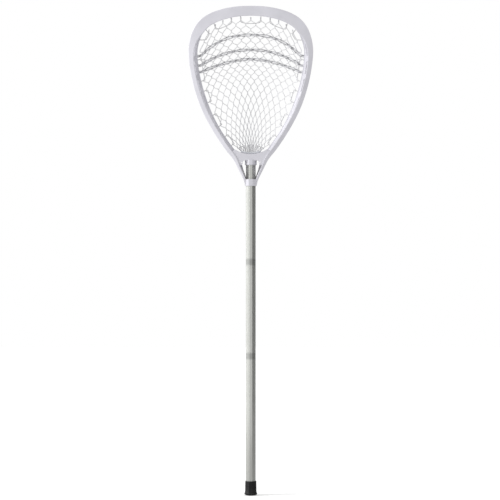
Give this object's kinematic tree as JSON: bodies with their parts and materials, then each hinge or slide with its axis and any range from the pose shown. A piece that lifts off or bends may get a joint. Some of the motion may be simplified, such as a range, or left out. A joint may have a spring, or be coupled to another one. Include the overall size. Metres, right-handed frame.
{
  "type": "lacrosse goalie stick",
  "caption": "Wide open moulded head with a laced net pocket and shooting cords, on a straight eight-sided tube shaft with a rubber butt cap.",
  "frame": {"origin": "centre of the flat end of the butt cap", "axes": "+Z from the butt end towards the head, -Y the open face of the head, +X to the right as seen facing the open face"},
  "size_m": [0.326, 0.0978, 1.28],
  "materials": {
    "head_plastic": "moulded nylon, faint lavender white",
    "shaft_alloy": "satin silver with two darker grey bands",
    "cap_rubber": "matt black",
    "screw_steel": "plain",
    "pad_foam": "closed-cell foam, light grey",
    "net_nylon": "knitted cord, white",
    "string_nylon": "thin white cord",
    "cord_braid": "braided white cord with a dark tracer"
  },
  "bodies": {
    "root": {"head_frame": "head_plastic", "shaft": "shaft_alloy", "butt_cap": "cap_rubber", "throat_screw": "screw_steel", "ball_stop_pad": "pad_foam", "pocket_net": "net_nylon", "top_string": "string_nylon", "sidewall_string_left": "string_nylon", "sidewall_string_right": "string_nylon", "bottom_string": "string_nylon", "shooting_cord_1": "cord_braid", "shooting_cord_2": "cord_braid", "shooting_cord_3": "cord_braid"}
  },
  "joints": []
}
